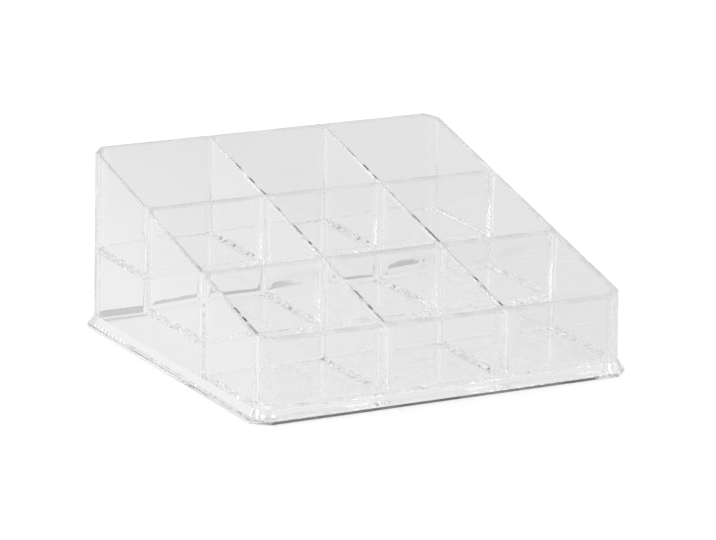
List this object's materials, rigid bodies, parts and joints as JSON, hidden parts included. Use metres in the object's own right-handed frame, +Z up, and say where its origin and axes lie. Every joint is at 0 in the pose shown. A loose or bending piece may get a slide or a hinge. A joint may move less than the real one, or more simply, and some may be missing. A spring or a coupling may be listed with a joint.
{
  "type": "storage organizer",
  "caption": "Clear plastic vanity organizer: a sloping tray of stepped, open-topped pockets in rows and columns on a flat base plate.",
  "frame": {"origin": "middle of the underside of the base plate, the face that the organizer rests on", "axes": "+X to the right as seen from the low front, +Y towards the high back wall, +Z up"},
  "size_m": [0.1756, 0.1736, 0.0788],
  "materials": {
    "clear_tray": "polished clear polystyrene, moulded",
    "clear_plate": "polished clear polystyrene sheet"
  },
  "bodies": {
    "root": {"tray": "clear_tray", "base_plate": "clear_plate"}
  },
  "joints": []
}
